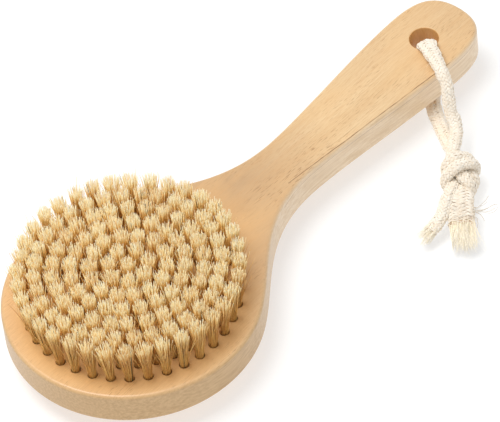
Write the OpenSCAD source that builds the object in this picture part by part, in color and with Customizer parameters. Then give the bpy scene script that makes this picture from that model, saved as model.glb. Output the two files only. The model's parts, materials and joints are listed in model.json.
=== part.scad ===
// Round-headed body dry brush with a short handle and a knotted hanging cord.
// The bare back face of the board lies on z = 0, the bristles point up (+Z),
// the head is centred on the origin and the handle runs along +X.

/* [Board] */
// Diameter of the round head
head_d = 95; // [85:1:105]
// Thickness of the board
board_t = 13.4; // [12:0.2:16]
// Distance from the head's centre to the tip of the handle
reach = 179; // [170:1:195]
// Width of the handle at its waist
waist_w = 21.4; // [18:0.2:25]
// Distance from the head's centre to the waist
waist_x = 84.25; // [78:0.25:90]
// Width of the handle at its widest, near the tip
grip_w = 32; // [28:0.5:35]

/* [Cord hole] */
// Diameter of the hole for the hanging cord
hole_d = 11; // [10:0.5:12]
// Distance from the hole's centre to the handle's tip
hole_inset = 20.5; // [19:0.5:20.5]

/* [Bristles] */
// Height of the trimmed bristles above the board
bristle_h = 18.8; // [14:0.2:24]
// Diameter of a tuft where it leaves the board
tuft_d = 3.5; // [3:0.1:3.6]
// Diameter of a tuft at its trimmed top
tip_d = 5.4; // [4:0.1:5.6]
// Diameter of the blind hole that holds a tuft
socket_d = 3.6; // [3.6:0.1:3.8]
// Depth of the blind holes
socket_depth = 8.4; // [7:0.2:9]
// Outward lean of the outermost ring of tufts, in degrees
fan = 4.4; // [0:0.2:6]

/* [Anchors] */
// Thickness of the flat wire that pins a tuft
wire_t = 0.4; // [0.3:0.05:0.6]
// Width of the flat wire
wire_w = 1.8; // [1.4:0.1:2.2]
// Length of one anchor, a little more than the hole, so that it bites the wood
wire_l = 4.4; // [4:0.1:4.8]

/* [Hanging cord] */
// Diameter of the braided cotton cord
cord_d = 5.4; // [4.6:0.1:5.4]
// Gap between the cord's lower leg and the board's back face
under_gap = 2.1; // [2.1:0.1:4]
// Diameter of the overhand knot's body
knot_d = 16; // [15:0.5:17]
// Length of the frayed tail, from the knot's centre
tail_main_l = 33; // [26:1:40]
// Length of the short tail, from the knot's centre
tail_short_l = 30; // [22:1:34]

/* [Hidden] */

wood_color = [0.87, 0.72, 0.50];
bristle_color = [0.93, 0.85, 0.66];
wire_color = [0.75, 0.76, 0.78];
cord_color = [0.93, 0.90, 0.83];
frayed_color = [0.95, 0.92, 0.83];
short_color = [0.94, 0.91, 0.84];

head_r = head_d / 2;
hole_x = reach - hole_inset;
cord_r = cord_d / 2;
socket_z = board_t - socket_depth;
overcut = 1;                 // how far a cutter runs past the face it opens

// Horizontal offset at an angle from +X
function polar(distance, angle) = distance * [cos(angle), sin(angle), 0];

// ---- rings of tufts ---------------------------------------------------------
// The ring radii are set out for a 95 mm head and grow with it
field_scale = head_d / 95;
// From the middle outwards: [radius on the board, count, first angle]
RINGS = [[0, 1, 0],
         [7.2 * field_scale, 7, 20.6],
         [13.8 * field_scale, 14, 1.6],
         [20.0 * field_scale, 20, 2.1],
         [26.4 * field_scale, 26, 1.8],
         [32.6 * field_scale, 32, 2.5],
         [38.5 * field_scale, 36, 2.0]];
outer_ring_r = RINGS[6][0];

// Places its children at every tuft of a ring, with +X pointing outwards
module around(ring) {
    for (i = [0:ring[1] - 1])
        rotate(ring[2] + 360 * i / ring[1])
            translate([ring[0], 0, 0])
                children();
}

// ---- board ------------------------------------------------------------------
// Point at t = 0..1 on the cubic Bezier curve with four control points
function bezier(points, t) = pow(1 - t, 3) * points[0]
                           + 3 * pow(1 - t, 2) * t * points[1]
                           + 3 * (1 - t) * t * t * points[2]
                           + t * t * t * points[3];

// Edge of the handle on the +Y side: three curves, as control points
neck_a = 63.3;               // angle on the head where the neck leaves it
neck_start = head_r * [cos(neck_a), sin(neck_a)];
neck_dir = [sin(neck_a), -cos(neck_a)];
neck = [neck_start, neck_start + 21.5 * neck_dir,
        [waist_x - 31.3, waist_w / 2], [waist_x, waist_w / 2]];
grip_x = reach - 20.8;       // where the handle is widest
grip = [[waist_x, waist_w / 2], [waist_x + 18.2, waist_w / 2],
        [grip_x - 21.4, grip_w / 2], [grip_x, grip_w / 2]];
tip = [[grip_x, grip_w / 2], [grip_x + 12.5, grip_w / 2], [reach, 13.3], [reach, 0]];

// +Y half of the outline, from the far side of the head to the handle's tip
half = concat([for (a = [180:-5:neck_a + 2]) head_r * [cos(a), sin(a)]],
              [for (i = [0:11]) bezier(neck, i / 12)],
              [for (i = [0:7]) bezier(grip, i / 8)],
              [for (i = [0:12]) bezier(tip, i / 12)]);
// Whole outline, counter-clockwise: the mirrored half out, the half itself back
outline = concat([for (point = half) [point[0], -point[1]]],
                 [for (i = [len(half) - 2:-1:1]) half[i]]);

broken_d = hole_d + 2;       // the cord hole's edge cones, centred on the faces
broken_h = 1;

module sockets() {
    for (ring = RINGS)
        around(ring)
            translate([0, 0, socket_z])
                cylinder(d = socket_d, h = socket_depth + overcut, $fn = 24);
}

module cord_hole() {
    translate([hole_x, 0, -overcut])
        cylinder(d = hole_d, h = board_t + 2 * overcut, $fn = 48);
    // Broken edges
    translate([hole_x, 0, board_t - broken_h / 2])
        cylinder(d1 = hole_d, d2 = broken_d, h = broken_h, $fn = 48);
    translate([hole_x, 0, -broken_h / 2])
        cylinder(d1 = broken_d, d2 = hole_d, h = broken_h, $fn = 48);
}

module wooden_body() {
    color(wood_color)
    difference() {
        linear_extrude(board_t) polygon(outline);
        sockets();
        cord_hole();
    }
}

// ---- bristle tufts ----------------------------------------------------------
shank_lift = 0.3;            // shank's foot above the socket's floor

// Half section of the flared brush: [radius, height above the board]
brush_profile = [[0, 0],
                 [tuft_d / 2 - 0.1, 0],
                 [tip_d / 2 - 0.25, bristle_h - 1.2],
                 [tip_d / 2, bristle_h - 0.5],
                 [tip_d / 2 - 0.5, bristle_h],
                 [0, bristle_h]];

// One tuft: an upright shank in the socket and a brush that leans towards +X
module tuft(lean) {
    translate([0, 0, socket_z + shank_lift])
        cylinder(d = tuft_d, h = socket_depth - shank_lift, $fn = 24);
    translate([0, 0, board_t])
        rotate([0, lean, 0])
            rotate_extrude($fn = 24) polygon(brush_profile);
}

// The lean grows with the ring's radius
module tufts(index) {
    ring = RINGS[index];
    color(bristle_color)
    around(ring) tuft(fan * ring[0] / outer_ring_r);
}

module tuft_center() { tufts(0); }
module tufts_ring_1() { tufts(1); }
module tufts_ring_2() { tufts(2); }
module tufts_ring_3() { tufts(3); }
module tufts_ring_4() { tufts(4); }
module tufts_ring_5() { tufts(5); }
module tufts_ring_6() { tufts(6); }

// ---- flat-wire anchors ------------------------------------------------------
anchor_lift = 0.9;           // anchor's lower edge above the socket's floor

module anchors(index) {
    color(wire_color)
    around(RINGS[index])
        translate([-wire_t / 2, -wire_l / 2, socket_z + anchor_lift])
            cube([wire_t, wire_l, wire_w]);
}

module anchor_center() { anchors(0); }
module anchors_ring_1() { anchors(1); }
module anchors_ring_2() { anchors(2); }
module anchors_ring_3() { anchors(3); }
module anchors_ring_4() { anchors(4); }
module anchors_ring_5() { anchors(5); }
module anchors_ring_6() { anchors(6); }

// ---- hanging cord -----------------------------------------------------------
// An upright stem in the hole bends into one leg over the board and one under it.
// Both legs run to the gathering ball beside the handle.
swing_a = -125;              // direction of the stem from the hole's axis
over_a = -121.5;             // direction of the leg over the board
under_a = -126;              // direction of the leg under the board
stem_off = hole_d / 2 - cord_r - 0.6;
stem = [hole_x, 0, 0] + polar(stem_off, swing_a);
bend_r = cord_r + 0.6;       // bends between the stem and the legs
over_z = board_t + cord_r + 0.15;
under_z = -under_gap - cord_r;
leg_l = 43;                  // horizontal reach of a leg from the stem
collar_h = 0.6;              // thin collars over the joints of the cord
collar_r = cord_r + 0.15;

// Where a bend that starts at the origin along +X ends; a positive turn is upwards
function bend_end(radius, turn) =
    radius * [sin(abs(turn)), 0, sign(turn) * (1 - cos(turn))];

// Leg over the board: flat to just past the handle's edge, down, then nearly level
over_flat = 21.4 - stem_off - bend_r;
crest_r = 6.5;
crest_a = 50;                // downward turn past the edge
drop_l = 12.6;               // straight drop between the two bends
foot_r = 9;
foot_a = 44;                 // upward turn after the drop
crest_end = bend_end(crest_r, -crest_a);
foot_end = bend_end(foot_r, foot_a);
over_slope = crest_a - foot_a;
over_last = (leg_l - (bend_r + over_flat + crest_end.x
             + (drop_l + foot_end.x) * cos(crest_a) + foot_end.z * sin(crest_a)))
            / cos(over_slope);
over_end_z = over_z + crest_end.z - (drop_l + foot_end.x) * sin(crest_a)
             + foot_end.z * cos(crest_a) - over_last * sin(over_slope);

// Leg under the board: flat to just past the handle's edge, then a gentle rise
under_flat = 22 - stem_off - bend_r;
rise_r = 20;
rise_a = 8;
rise_end = bend_end(rise_r, rise_a);
under_last = (leg_l - bend_r - under_flat - rise_end.x) / cos(rise_a);
under_end_z = under_z + rise_end.z + under_last * sin(rise_a);

// Ball where the legs gather and the knot can turn
gather_d = 10.4;
gather = stem + polar(45, (over_a + under_a) / 2)
         + [0, 0, (over_end_z + under_end_z) / 2];

module collar() {
    translate([0, 0, -collar_h / 2]) cylinder(r = collar_r, h = collar_h, $fn = 32);
}

// Straight cord along +Z with a collar at each end
module upright(length) {
    cylinder(r = cord_r, h = length, $fn = 32);
    collar();
    translate([0, 0, length]) collar();
}

// Straight cord along +X
module run(length) {
    rotate([0, 90, 0]) upright(length);
}

// Arc of cord in the XZ plane about the origin, angles from +X towards +Z
module arc(radius, start, sweep) {
    rotate([90, 0, 0]) rotate(start)
        rotate_extrude(angle = sweep, $fn = 96)
            translate([radius, 0]) circle(r = cord_r, $fn = 32);
}

// Bend that starts along +X and carries its children on from its end
module bend(radius, turn) {
    translate([0, 0, sign(turn) * radius])
        arc(radius, turn > 0 ? -90 : 90 - abs(turn), abs(turn));
    translate(bend_end(radius, turn)) rotate([0, -turn, 0]) children();
}

module over_leg() {
    translate([bend_r, 0, over_z - bend_r]) arc(bend_r, 90, 90);
    translate([bend_r, 0, over_z]) {
        run(over_flat);
        translate([over_flat, 0, 0]) bend(crest_r, -crest_a) {
            run(drop_l);
            translate([drop_l, 0, 0]) bend(foot_r, foot_a) run(over_last);
        }
    }
}

module under_leg() {
    translate([bend_r, 0, under_z + bend_r]) arc(bend_r, 180, 90);
    translate([bend_r, 0, under_z]) {
        run(under_flat);
        translate([under_flat, 0, 0]) bend(rise_r, rise_a) run(under_last);
    }
}

module cord_loop() {
    color(cord_color)
    union() {
        translate(stem + [0, 0, under_z + bend_r])
            upright(over_z - under_z - 2 * bend_r);
        translate(stem) rotate(over_a) over_leg();
        translate(stem) rotate(under_a) under_leg();
        translate(gather) sphere(d = gather_d, $fn = 48);
    }
}

// ---- knot and tails ---------------------------------------------------------
knot_a = -132.5;             // direction of the knot from the gathering ball
knot_tilt = 78;              // tilt of the wraps' axis from upright
knot_center = gather + polar(9.8, knot_a) + [0, 0, 0.3];
wrap_cord_r = 2.9;
wrap_r = knot_d / 2 - wrap_cord_r;  // radius of the two wraps' centre line
wrap_off = 2.8;              // each wrap's distance from the knot's middle
core_l = 4 * wrap_off;
seat_h = 24;
seat_clearance = 0.1;        // on the diameter

// Columns of a tail's entry: direction of its root from the knot's centre, distance
// of the root, direction of the tail, dip, diameter of the root ball, cord radius
ROOT_A = 0;
ROOT_DIST = 1;
TAIL_A = 2;
DIP = 3;
BALL_D = 4;
TAIL_R = 5;
MAIN = [-139, 8.5, -140, 9, 5.6, 2.7];
SHORT = [-176, 9.5, -163, 7, 4.6, 2.2];

function root(tail) = knot_center
    + polar(tail[ROOT_DIST] * cos(tail[DIP]), tail[ROOT_A])
    - [0, 0, tail[ROOT_DIST] * sin(tail[DIP])];

// Upright cutter round a ball, with running clearance
module seat(place, ball_d) {
    translate([place.x, place.y, knot_center.z - seat_h / 2])
        cylinder(d = ball_d + seat_clearance, h = seat_h, $fn = 48);
}

module cord_knot() {
    color(cord_color)
    difference() {
        // Two turns of cord side by side round a core
        translate(knot_center) rotate(knot_a) rotate([0, knot_tilt, 0]) union() {
            translate([0, 0, -core_l / 2]) cylinder(r = wrap_r, h = core_l, $fn = 48);
            for (z = [-wrap_off, wrap_off])
                translate([0, 0, z])
                    rotate_extrude($fn = 96)
                        translate([wrap_r, 0]) circle(r = wrap_cord_r, $fn = 32);
        }
        seat(gather, gather_d);
        seat(root(MAIN), MAIN[BALL_D]);
        seat(root(SHORT), SHORT[BALL_D]);
    }
}

// Tail: a ball seated on the knot, a straight length of cord and a blunt end
module cord_tail(tail, length) {
    translate(root(tail)) {
        sphere(d = tail[BALL_D], $fn = 48);
        rotate(tail[TAIL_A]) rotate([0, 90 + tail[DIP], 0])
            cylinder(r = tail[TAIL_R], h = length - tail[ROOT_DIST], $fn = 32);
    }
}

module cord_tail_frayed() {
    color(frayed_color) cord_tail(MAIN, tail_main_l);
}

module cord_tail_short() {
    color(short_color) cord_tail(SHORT, tail_short_l);
}

wooden_body();
tuft_center();
tufts_ring_1();
tufts_ring_2();
tufts_ring_3();
tufts_ring_4();
tufts_ring_5();
tufts_ring_6();
anchor_center();
anchors_ring_1();
anchors_ring_2();
anchors_ring_3();
anchors_ring_4();
anchors_ring_5();
anchors_ring_6();
cord_loop();
cord_knot();
cord_tail_frayed();
cord_tail_short();
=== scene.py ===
# Body dry brush: a round wooden head full of bristle tufts, a waisted handle and a braided
# hanging cord. The head is centred on the origin and the handle runs along +X. The board's
# underside is at z = 0 and the bristles stand up along +Z. The cord passes through a hole near
# the handle's tip and lies towards -Y, where it is knotted and ends in two frayed tails.
# Everything is worked out in millimetres and written to the meshes in metres.
import json
import math

import bpy
import numpy as np
from mathutils import Matrix, Vector
from mathutils.geometry import delaunay_2d_cdt

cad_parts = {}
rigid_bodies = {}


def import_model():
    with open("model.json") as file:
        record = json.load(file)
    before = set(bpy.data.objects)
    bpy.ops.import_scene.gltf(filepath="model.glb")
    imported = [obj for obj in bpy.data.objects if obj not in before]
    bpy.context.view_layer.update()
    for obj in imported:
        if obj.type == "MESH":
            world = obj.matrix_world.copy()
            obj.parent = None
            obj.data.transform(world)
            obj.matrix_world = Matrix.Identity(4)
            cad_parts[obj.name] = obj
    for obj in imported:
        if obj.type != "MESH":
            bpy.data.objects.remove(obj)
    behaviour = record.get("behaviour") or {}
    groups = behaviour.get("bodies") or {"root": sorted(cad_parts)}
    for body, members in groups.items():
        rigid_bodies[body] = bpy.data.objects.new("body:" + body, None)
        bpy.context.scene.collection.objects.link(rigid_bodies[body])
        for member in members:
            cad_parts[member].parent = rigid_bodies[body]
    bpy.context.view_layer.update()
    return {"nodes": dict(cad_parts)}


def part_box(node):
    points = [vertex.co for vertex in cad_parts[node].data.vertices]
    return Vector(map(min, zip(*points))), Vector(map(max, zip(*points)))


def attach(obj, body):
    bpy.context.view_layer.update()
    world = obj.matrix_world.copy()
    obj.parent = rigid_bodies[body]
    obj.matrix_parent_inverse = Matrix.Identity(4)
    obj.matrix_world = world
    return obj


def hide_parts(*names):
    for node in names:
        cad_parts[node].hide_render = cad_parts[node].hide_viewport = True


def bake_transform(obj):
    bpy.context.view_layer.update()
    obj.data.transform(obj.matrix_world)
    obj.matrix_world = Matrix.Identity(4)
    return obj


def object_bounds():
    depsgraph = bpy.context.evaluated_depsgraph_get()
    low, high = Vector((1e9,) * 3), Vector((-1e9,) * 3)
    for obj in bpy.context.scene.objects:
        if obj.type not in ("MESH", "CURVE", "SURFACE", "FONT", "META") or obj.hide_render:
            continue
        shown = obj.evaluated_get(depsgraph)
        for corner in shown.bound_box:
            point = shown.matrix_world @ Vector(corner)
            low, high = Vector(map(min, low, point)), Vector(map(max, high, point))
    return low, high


for old in list(bpy.data.objects):
    bpy.data.objects.remove(old)

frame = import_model()
MM_PER_M = 1000.0


def cad_box(name):
    low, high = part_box(name)
    return np.array(low) * MM_PER_M, np.array(high) * MM_PER_M


# ---------------------------------------------------------------- dimensions
BODY_LOW, BODY_HIGH = cad_box("wooden_body")
BOARD_T = BODY_HIGH[2] - BODY_LOW[2]
HEAD_R = BODY_HIGH[1]
REACH = BODY_HIGH[0]                    # the handle's tip
EDGE_R = 1.5                            # rounding of the board's edges
NECK_ANGLE = 63.3                       # degrees round the head where the neck leaves it
WAIST_X, WAIST_W = 84.25, 21.4
GRIP_X, GRIP_W = REACH - 20.8, 32.0     # widest place of the handle
HOLE_X, HOLE_R = REACH - 20.5, 5.5      # cord hole
HOLE_EDGE_R = 0.35

SOCKET_R = 1.8                          # drilled hole of a tuft
SOCKET_WALL, SOCKET_DEPTH = 8.4, 9.2    # depth of the straight wall and of the drilled point
BRISTLE_H = cad_box("tuft_center")[1][2] - BOARD_T
FAN = math.radians(4.4)                 # outward lean of the outermost tufts
STRANDS, LOOSE = 108, 8                 # bristles in a tuft, and stray ones round it
BRISTLE_SEGMENTS = 6
# rings of tufts: radius, number of tufts, angle of the first one in degrees
RINGS = [(0.0, 1, 0.0), (7.2, 7, 20.6), (13.8, 14, 1.6), (20.0, 20, 2.1),
         (26.4, 26, 1.8), (32.6, 32, 2.5), (38.5, 36, 2.0)]
OUTER_RING = RINGS[-1][0]
GOLDEN_ANGLE = 2.399963                 # spreads points evenly over a disc


# ---------------------------------------------------------------- mesh helpers
def new_mesh(name, verts, polys, material, attrs=None, corner_normals=None,
             vertex_normals=None, smooth=True):
    """verts: (n, 3) in mm. polys: list of (m, k) index arrays. attrs: {name: n values}."""
    mesh = bpy.data.meshes.new(name)
    polys = [np.asarray(p, np.int32) for p in polys]
    loops = np.concatenate([p.ravel() for p in polys])
    totals = np.concatenate([np.full(len(p), p.shape[1], np.int32) for p in polys])
    starts = np.concatenate([[0], np.cumsum(totals)[:-1]]).astype(np.int32)
    mesh.vertices.add(len(verts))
    coords = (np.asarray(verts, float) / MM_PER_M).astype(np.float32)
    mesh.vertices.foreach_set("co", coords.ravel())
    mesh.loops.add(len(loops))
    mesh.loops.foreach_set("vertex_index", loops)
    mesh.polygons.add(len(totals))
    mesh.polygons.foreach_set("loop_start", starts)
    mesh.polygons.foreach_set("loop_total", totals)
    if smooth:
        mesh.polygons.foreach_set("use_smooth", np.ones(len(totals), bool))
    for key, values in (attrs or {}).items():
        attribute = mesh.attributes.new(key, "FLOAT", "POINT")
        attribute.data.foreach_set("value", np.asarray(values, np.float32))
    mesh.materials.append(material)
    mesh.update(calc_edges=True)
    mesh.validate()
    if corner_normals is not None:
        mesh.normals_split_custom_set([tuple(n) for n in corner_normals])
    if vertex_normals is not None:
        mesh.normals_split_custom_set_from_vertices(vertex_normals.tolist())
    ob = bpy.data.objects.new(name, mesh)
    bpy.context.scene.collection.objects.link(ob)
    return ob


def unit(v):
    v = np.asarray(v, float)
    return v / np.maximum(np.linalg.norm(v, axis=-1, keepdims=True), 1e-12)


def tangents(paths):
    """Unit directions along the paths (n, m, 3)."""
    t = np.empty_like(paths)
    t[:, 1:-1] = paths[:, 2:] - paths[:, :-2]
    t[:, 0] = paths[:, 1] - paths[:, 0]
    t[:, -1] = paths[:, -1] - paths[:, -2]
    return unit(t)


def strands(paths, radii, sides=3):
    """Many thin capped tubes at once. paths (n, m, 3), radii (n, m)."""
    n, m, _ = paths.shape
    t = tangents(paths)
    # one reference direction a strand, square to its chord
    chord = unit(paths[:, -1] - paths[:, 0])
    ref = np.where(np.abs(chord[:, :1]) > 0.8, np.array([[0.0, 1.0, 0.0]]),
                   np.array([[1.0, 0.0, 0.0]]))
    ref = unit(ref - (ref * chord).sum(1, keepdims=True) * chord)[:, None, :]
    a = unit(ref - (ref * t).sum(2, keepdims=True) * t)
    b = np.cross(t, a)
    angle = (2 * np.pi * np.arange(sides) / sides)[None, None, :, None]
    verts = (paths[:, :, None, :] + radii[:, :, None, None] *
             (a[:, :, None, :] * np.cos(angle) + b[:, :, None, :] * np.sin(angle)))
    idx = np.arange(n * m * sides).reshape(n, m, sides)
    after = np.roll(idx, -1, axis=2)
    quads = np.stack([idx[:, :-1], after[:, :-1], after[:, 1:], idx[:, 1:]], axis=-1)
    return verts.reshape(-1, 3), [quads.reshape(-1, 4), idx[:, -1], idx[:, 0, ::-1]]


def strand_normals(verts, paths, radii, lean, sides=3):
    """Normals that lean from a tube's side towards its tip, as light passing through thin
    fibres makes them look."""
    lean = np.broadcast_to(lean, radii.shape).reshape(-1, 1)
    outward = ((verts - np.repeat(paths.reshape(-1, 3), sides, 0))
               / np.repeat(radii.ravel(), sides)[:, None])
    return unit(outward + np.repeat(lean * tangents(paths).reshape(-1, 3), sides, 0))


# ---------------------------------------------------------------- node helpers
class NodeMaterial:
    """A material with one Principled shader and short ways to add nodes."""

    def __init__(self, name):
        self.material = bpy.data.materials.new(name)
        self.material.use_nodes = True
        self.tree = self.material.node_tree
        self.tree.nodes.clear()
        output = self.tree.nodes.new("ShaderNodeOutputMaterial")
        self.shader = self.tree.nodes.new("ShaderNodeBsdfPrincipled")
        self.tree.links.new(self.shader.outputs[0], output.inputs["Surface"])

    def put(self, socket, value):
        """Links a socket, or sets its value."""
        if isinstance(value, bpy.types.NodeSocket):
            self.tree.links.new(value, socket)
        elif isinstance(value, tuple) and len(value) == 3 and socket.type == "RGBA":
            socket.default_value = (*value, 1.0)
        else:
            socket.default_value = value

    def node(self, kind, *values, out=0, props=None, **inputs):
        """Adds a node. values fill its first inputs, keywords the inputs of that name."""
        node = self.tree.nodes.new("ShaderNode" + kind)
        for key, value in (props or {}).items():
            setattr(node, key, value)
        for i, value in enumerate(values):
            self.put(node.inputs[i], value)
        for key, value in inputs.items():
            self.put(node.inputs[key.replace("_", " ")], value)
        return node.outputs[out]

    def math(self, operation, *values):
        return self.node("Math", *values, props={"operation": operation})

    def multiply(self, first, *others):
        for other in others:
            first = self.math("MULTIPLY", first, other)
        return first

    def scaled(self, value, by, plus):
        return self.math("MULTIPLY_ADD", value, by, plus)

    def vector_math(self, operation, a, b):
        return self.node("VectorMath", a, b, props={"operation": operation})

    def coords(self, scale=(1, 1, 1), offset=(0, 0, 0), source=None):
        """Object coordinates in mm, or the source given, scaled and then moved."""
        if source is None:
            source = self.node("TexCoord", out="Object")
            source = self.vector_math("MULTIPLY", source, (MM_PER_M, MM_PER_M, MM_PER_M))
        return self.node("Mapping", Vector=source, Location=offset, Scale=scale)

    def noise(self, scale, offset=(0, 0, 0), detail=2.0, roughness=0.5, source=None, out=0):
        """Noise with a scale per axis, in cells per mm."""
        return self.node("TexNoise", out=out, Vector=self.coords(scale, offset, source),
                         Scale=1.0, Detail=detail, Roughness=roughness, Distortion=0.0)

    def ramp(self, factor, stops):
        """stops: (position, colour or grey value)."""
        output = self.node("ValToRGB", factor)
        elements = output.node.color_ramp.elements
        while len(elements) > 1:
            elements.remove(elements[-1])
        for i, (position, color) in enumerate(stops):
            element = elements[0] if i == 0 else elements.new(position)
            element.position = position
            if not isinstance(color, tuple):
                color = (color, color, color)
            element.color = (*color, 1.0)
        return output

    def levels(self, factor, start, end, low=0.0, high=1.0):
        """Grey ramp from low at start to high at end."""
        return self.ramp(factor, [(start, low), (end, high)])

    def fade(self, value, zero_at, one_at):
        return self.node("MapRange", Value=value, From_Min=zero_at, From_Max=one_at)

    def mix(self, factor, a, b, mode="MIX"):
        output = self.node("Mix", factor, out=2, props={
            "data_type": "RGBA", "blend_type": mode, "clamp_factor": True})
        # inputs 6 and 7 are the node's two colours
        self.put(output.node.inputs[6], a)
        self.put(output.node.inputs[7], b)
        return output

    def tint(self, base, color, mask, amount):
        """Takes base towards color by amount where the mask is 1."""
        return self.mix(self.multiply(mask, amount), base, color)

    def attr(self, name):
        return self.node("Attribute", out="Fac", props={"attribute_name": name})

    def bump(self, height, distance_mm, strength):
        return self.node("Bump", Strength=strength, Distance=distance_mm / MM_PER_M,
                         Height=height)

    def finish(self, **inputs):
        """Sets the shader's inputs and returns the material."""
        for key, value in inputs.items():
            self.put(self.shader.inputs[key.replace("_", " ")], value)
        return self.material


def srgb(*channels):
    """Linear colour from 0..255 display values."""
    def linear(c):
        c = c / 255.0
        return c / 12.92 if c <= 0.04045 else ((c + 0.055) / 1.055) ** 2.4
    return tuple(linear(c) for c in channels)


# ---------------------------------------------------------------- board
def bezier(control, count):
    control = np.asarray(control, float)
    t = np.linspace(0, 1, count)[:, None]
    return ((1 - t) ** 3 * control[0] + 3 * (1 - t) ** 2 * t * control[1]
            + 3 * (1 - t) * t * t * control[2] + t ** 3 * control[3])


def board_outline():
    """Counter-clockwise outline of the board, with outward normals."""
    a = math.radians(NECK_ANGLE)
    start = HEAD_R * np.array([math.cos(a), math.sin(a)])
    leave = np.array([math.sin(a), -math.cos(a)])      # along the head's tangent
    waist, grip = WAIST_W / 2, GRIP_W / 2
    # each curve: its two ends, with the two points between them that shape it
    neck_curve = bezier([start, start + 21.5 * leave, (WAIST_X - 31.3, waist),
                         (WAIST_X, waist)], 40)
    grip_curve = bezier([(WAIST_X, waist), (WAIST_X + 18.2, waist), (GRIP_X - 21.4, grip),
                         (GRIP_X, grip)], 34)
    tip_curve = bezier([(GRIP_X, grip), (GRIP_X + 12.5, grip), (REACH, 13.3), (REACH, 0)], 30)
    a = np.radians(np.arange(180, NECK_ANGLE + 1.0, -2.0))
    head = HEAD_R * np.stack([np.cos(a), np.sin(a)], 1)
    half = np.concatenate([head, neck_curve[:-1], grip_curve[:-1], tip_curve])
    ring = np.concatenate([half * [1, -1], half[-2:0:-1]])
    t = unit(np.roll(ring, -1, 0) - np.roll(ring, 1, 0))
    return ring, np.stack([t[:, 1], -t[:, 0]], 1)


def ring_tufts(radius, count, first):
    """x, y and angle of each tuft in a ring."""
    angles = [math.radians(first + 360 * i / count) for i in range(count)]
    return [(radius * math.cos(a), radius * math.sin(a), a) for a in angles]


def inside(points, outline):
    """Which of the points lie inside the closed outline."""
    x, y = points[:, 0][:, None], points[:, 1][:, None]
    x1, y1 = outline[:, 0][None], outline[:, 1][None]
    x2, y2 = np.roll(outline[:, 0], -1)[None], np.roll(outline[:, 1], -1)[None]
    crosses = (y1 > y) != (y2 > y)
    with np.errstate(divide="ignore", invalid="ignore"):
        cross_x = (x2 - x1) * (y - y1) / (y2 - y1) + x1
    return ((crosses & (x < cross_x)).sum(1) % 2) == 1


def circle(x, y, radius, count, z):
    """Points of a level circle, and their outward directions in the plane."""
    a = 2 * np.pi * np.arange(count) / count
    points = np.column_stack([x + radius * np.cos(a), y + radius * np.sin(a),
                              np.full(count, z)])
    return points, np.column_stack([np.cos(a), np.sin(a)])


def rounded_profile(radius, steps):
    """Rows from the underside to the upper face: z, inset, and the level and upward parts
    of the normal."""
    quarter = math.pi / 2
    rows = []
    for face_z, up, first, last in ((0.0, -1, quarter, 0), (BOARD_T, 1, 0, quarter)):
        for a in np.linspace(first, last, steps):
            rows.append((face_z - up * radius * (1 - math.sin(a)), radius * (1 - math.cos(a)),
                         math.cos(a), up * math.sin(a)))
    return rows


class BoardSkin:
    """Collects the board's vertices, faces and corner normals. side and bore say how far
    a vertex belongs to the board's side, or to a hole."""

    def __init__(self):
        self.verts, self.polys, self.normals = [], [], []
        self.side, self.bore = [], []

    def add(self, points, side=0.0, bore=0.0):
        base = sum(len(v) for v in self.verts)
        self.verts.append(points)
        self.side.append(np.full(len(points), side))
        self.bore.append(np.full(len(points), bore))
        return np.arange(base, base + len(points))

    def strip(self, ring0, ring1, normals0, normals1, flip=False):
        """Quads between two closed rings, with a normal for each ring's points."""
        after = (np.arange(len(ring0)) + 1) % len(ring0)
        quads = np.stack([ring0, ring0[after], ring1[after], ring1], 1)
        normals = np.stack([normals0, normals0[after], normals1[after], normals1], 1)
        if flip:
            quads, normals = quads[:, ::-1], normals[:, ::-1]
        self.polys.append(quads)
        self.normals.append(normals)

    def level(self, triangles, up):
        """Triangles whose normals point straight up or down."""
        normals = np.zeros((len(triangles), 3, 3))
        normals[..., 2] = up
        self.polys.append(triangles)
        self.normals.append(normals)

    def flat(self, outer, holes, up):
        """Triangulates a plane face with holes. up is 1 or -1."""
        verts = np.concatenate(self.verts)
        loops = [outer] + holes
        ids = np.concatenate(loops)
        edges, start = [], 0
        for loop in loops:
            count = len(loop)
            edges += [(start + i, start + (i + 1) % count) for i in range(count)]
            start += count
        result = delaunay_2d_cdt([Vector(p) for p in verts[ids][:, :2]], edges, [], 0, 1e-9)
        points, _, faces, origins = result[:4]
        tri = np.array([list(f) for f in faces])
        origin = np.array([o[0] for o in origins])
        centres = np.array([list(p) for p in points])[tri].mean(1)
        keep = inside(centres, verts[outer][:, :2])
        for loop in holes:
            middle = verts[loop][:, :2].mean(0)
            radius = np.linalg.norm(verts[loop[0]][:2] - middle)
            keep &= np.linalg.norm(centres - middle, axis=1) > radius * 0.99
        tri = ids[origin[tri[keep]]]
        e1 = verts[tri[:, 1]] - verts[tri[:, 0]]
        e2 = verts[tri[:, 2]] - verts[tri[:, 0]]
        wrong = (e1[:, 0] * e2[:, 1] - e1[:, 1] * e2[:, 0] > 0) != (up > 0)
        tri[wrong] = tri[wrong][:, ::-1]
        self.level(tri, up)


def add_outer_skin(skin):
    """Lower edge, side and upper edge. Returns the lowest and highest rings."""
    outline, outward = board_outline()
    rings, normals = [], []
    for z, inset, level, up in rounded_profile(EDGE_R, 7):
        points = np.column_stack([outline - outward * inset, np.full(len(outline), z)])
        rings.append(skin.add(points, side=level))
        normals.append(np.column_stack([outward * level, np.full(len(outline), up)]))
    for k in range(len(rings) - 1):
        skin.strip(rings[k], rings[k + 1], normals[k], normals[k + 1])
    return rings[0], rings[-1]


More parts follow.
